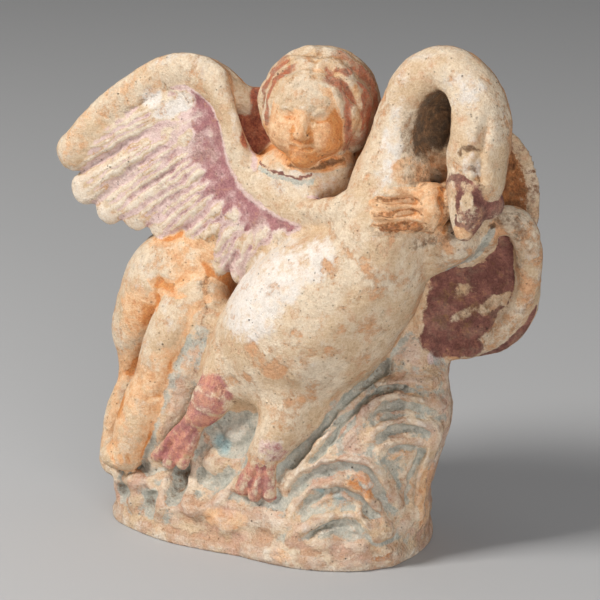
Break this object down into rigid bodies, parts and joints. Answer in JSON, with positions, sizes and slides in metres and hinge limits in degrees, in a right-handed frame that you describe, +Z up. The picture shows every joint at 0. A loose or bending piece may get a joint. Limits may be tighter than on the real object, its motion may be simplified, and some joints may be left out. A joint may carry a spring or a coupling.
{
  "type": "terracotta figurine",
  "caption": "Small painted terracotta group of a winged boy clinging to a swan that rises from the waves, on a low rounded base.",
  "frame": {"origin": "the middle of the flat underside, where the group stands", "axes": "+Z up, the front with the swan's breast and the boy's face towards -Y, the raised wing towards -X and the bent neck towards +X"},
  "size_m": [0.1113, 0.045, 0.1124],
  "materials": {
    "painted_terracotta": "matt fired clay with a worn cream slip and worn mauve, plum, blue and red paint"
  },
  "bodies": {
    "root": {"figurine": "painted_terracotta"}
  },
  "joints": []
}
